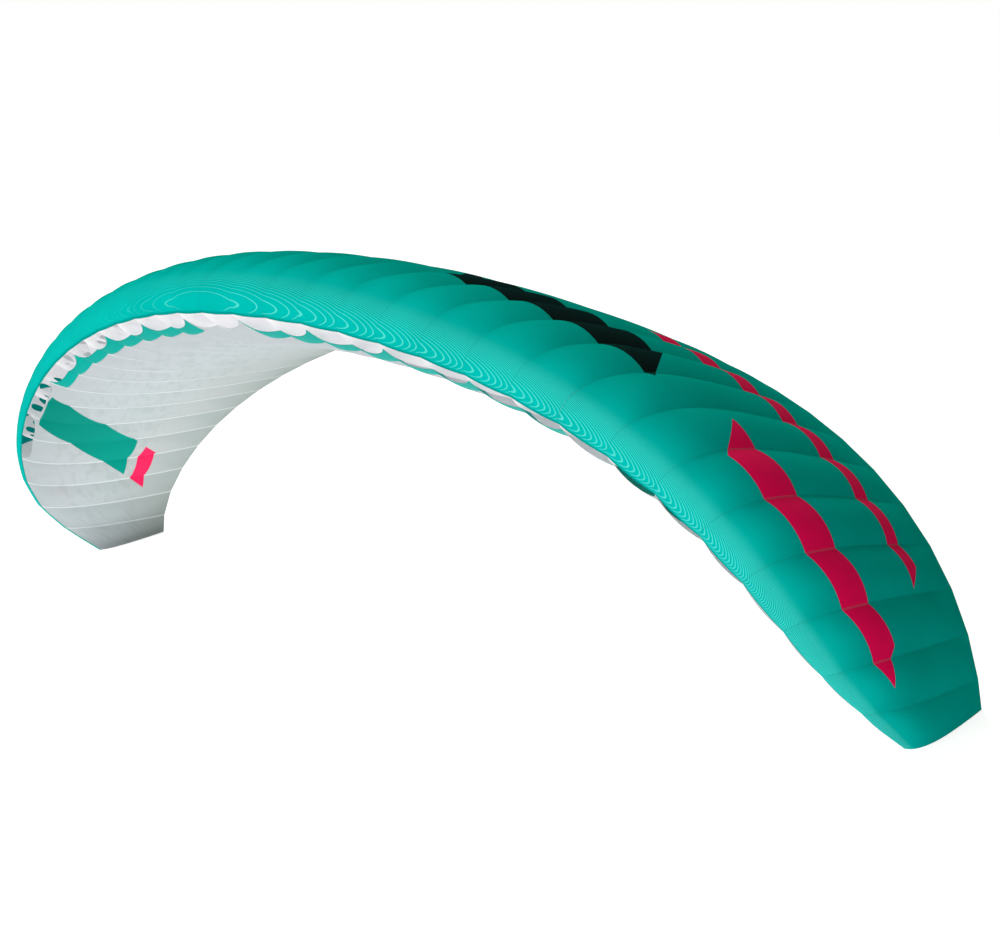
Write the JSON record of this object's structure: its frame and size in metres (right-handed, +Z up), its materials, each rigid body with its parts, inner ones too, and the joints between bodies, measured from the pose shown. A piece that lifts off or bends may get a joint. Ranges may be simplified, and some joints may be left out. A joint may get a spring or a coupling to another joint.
{
  "type": "paraglider wing",
  "caption": "Inflated ram-air paraglider wing in a flying arch, with billowed cells, air inlets below the nose and closed tips.",
  "frame": {"origin": "on the floor, under the middle of the bounding box", "axes": "+X along the span to the right seen from in front, +Y from the leading edge back to the trailing edge, +Z up"},
  "size_m": [8.015, 2.6436, 2.5193],
  "materials": {
    "outer_cloth": "coated ripstop nylon, light sheen, with a pink stripe and a black panel on each half",
    "under_cloth": "thin coated ripstop nylon, translucent, with plain coloured bands",
    "lip_cloth": "coated ripstop nylon, light sheen",
    "rib_cloth": "stiff white rib cloth, matt"
  },
  "bodies": {
    "root": {"nose_1": "outer_cloth", "nose_2": "outer_cloth", "nose_3": "outer_cloth", "nose_4": "outer_cloth", "nose_5": "outer_cloth", "nose_6": "outer_cloth", "nose_7": "outer_cloth", "nose_8": "outer_cloth", "top_1": "outer_cloth", "top_2": "outer_cloth", "top_3": "outer_cloth", "top_4": "outer_cloth", "under_1": "under_cloth", "under_2": "under_cloth", "under_3": "under_cloth", "under_4": "under_cloth", "under_5": "under_cloth", "lip_panel_1": "lip_cloth", "lip_panel_2": "lip_cloth", "lip_panel_3": "lip_cloth", "lip_panel_4": "lip_cloth", "lip_panel_5": "lip_cloth", "lip_panel_6": "lip_cloth", "lip_panel_7": "lip_cloth", "lip_panel_8": "lip_cloth", "rib_00": "rib_cloth", "rib_01": "rib_cloth", "rib_02": "rib_cloth", "rib_03": "rib_cloth", "rib_04": "rib_cloth", "rib_05": "rib_cloth", "rib_06": "rib_cloth", "rib_07": "rib_cloth", "rib_08": "rib_cloth", "rib_09": "rib_cloth", "rib_10": "rib_cloth", "rib_11": "rib_cloth", "rib_12": "rib_cloth", "rib_13": "rib_cloth", "rib_14": "rib_cloth", "rib_15": "rib_cloth", "rib_16": "rib_cloth", "rib_17": "rib_cloth", "rib_18": "rib_cloth", "rib_19": "rib_cloth", "rib_20": "rib_cloth", "rib_21": "rib_cloth", "rib_22": "rib_cloth", "rib_23": "rib_cloth", "rib_24": "rib_cloth", "rib_25": "rib_cloth", "rib_26": "rib_cloth", "rib_27": "rib_cloth", "rib_28": "rib_cloth", "rib_29": "rib_cloth", "rib_30": "rib_cloth", "rib_31": "rib_cloth", "rib_32": "rib_cloth", "rib_33": "rib_cloth", "rib_34": "rib_cloth"}
  },
  "joints": []
}
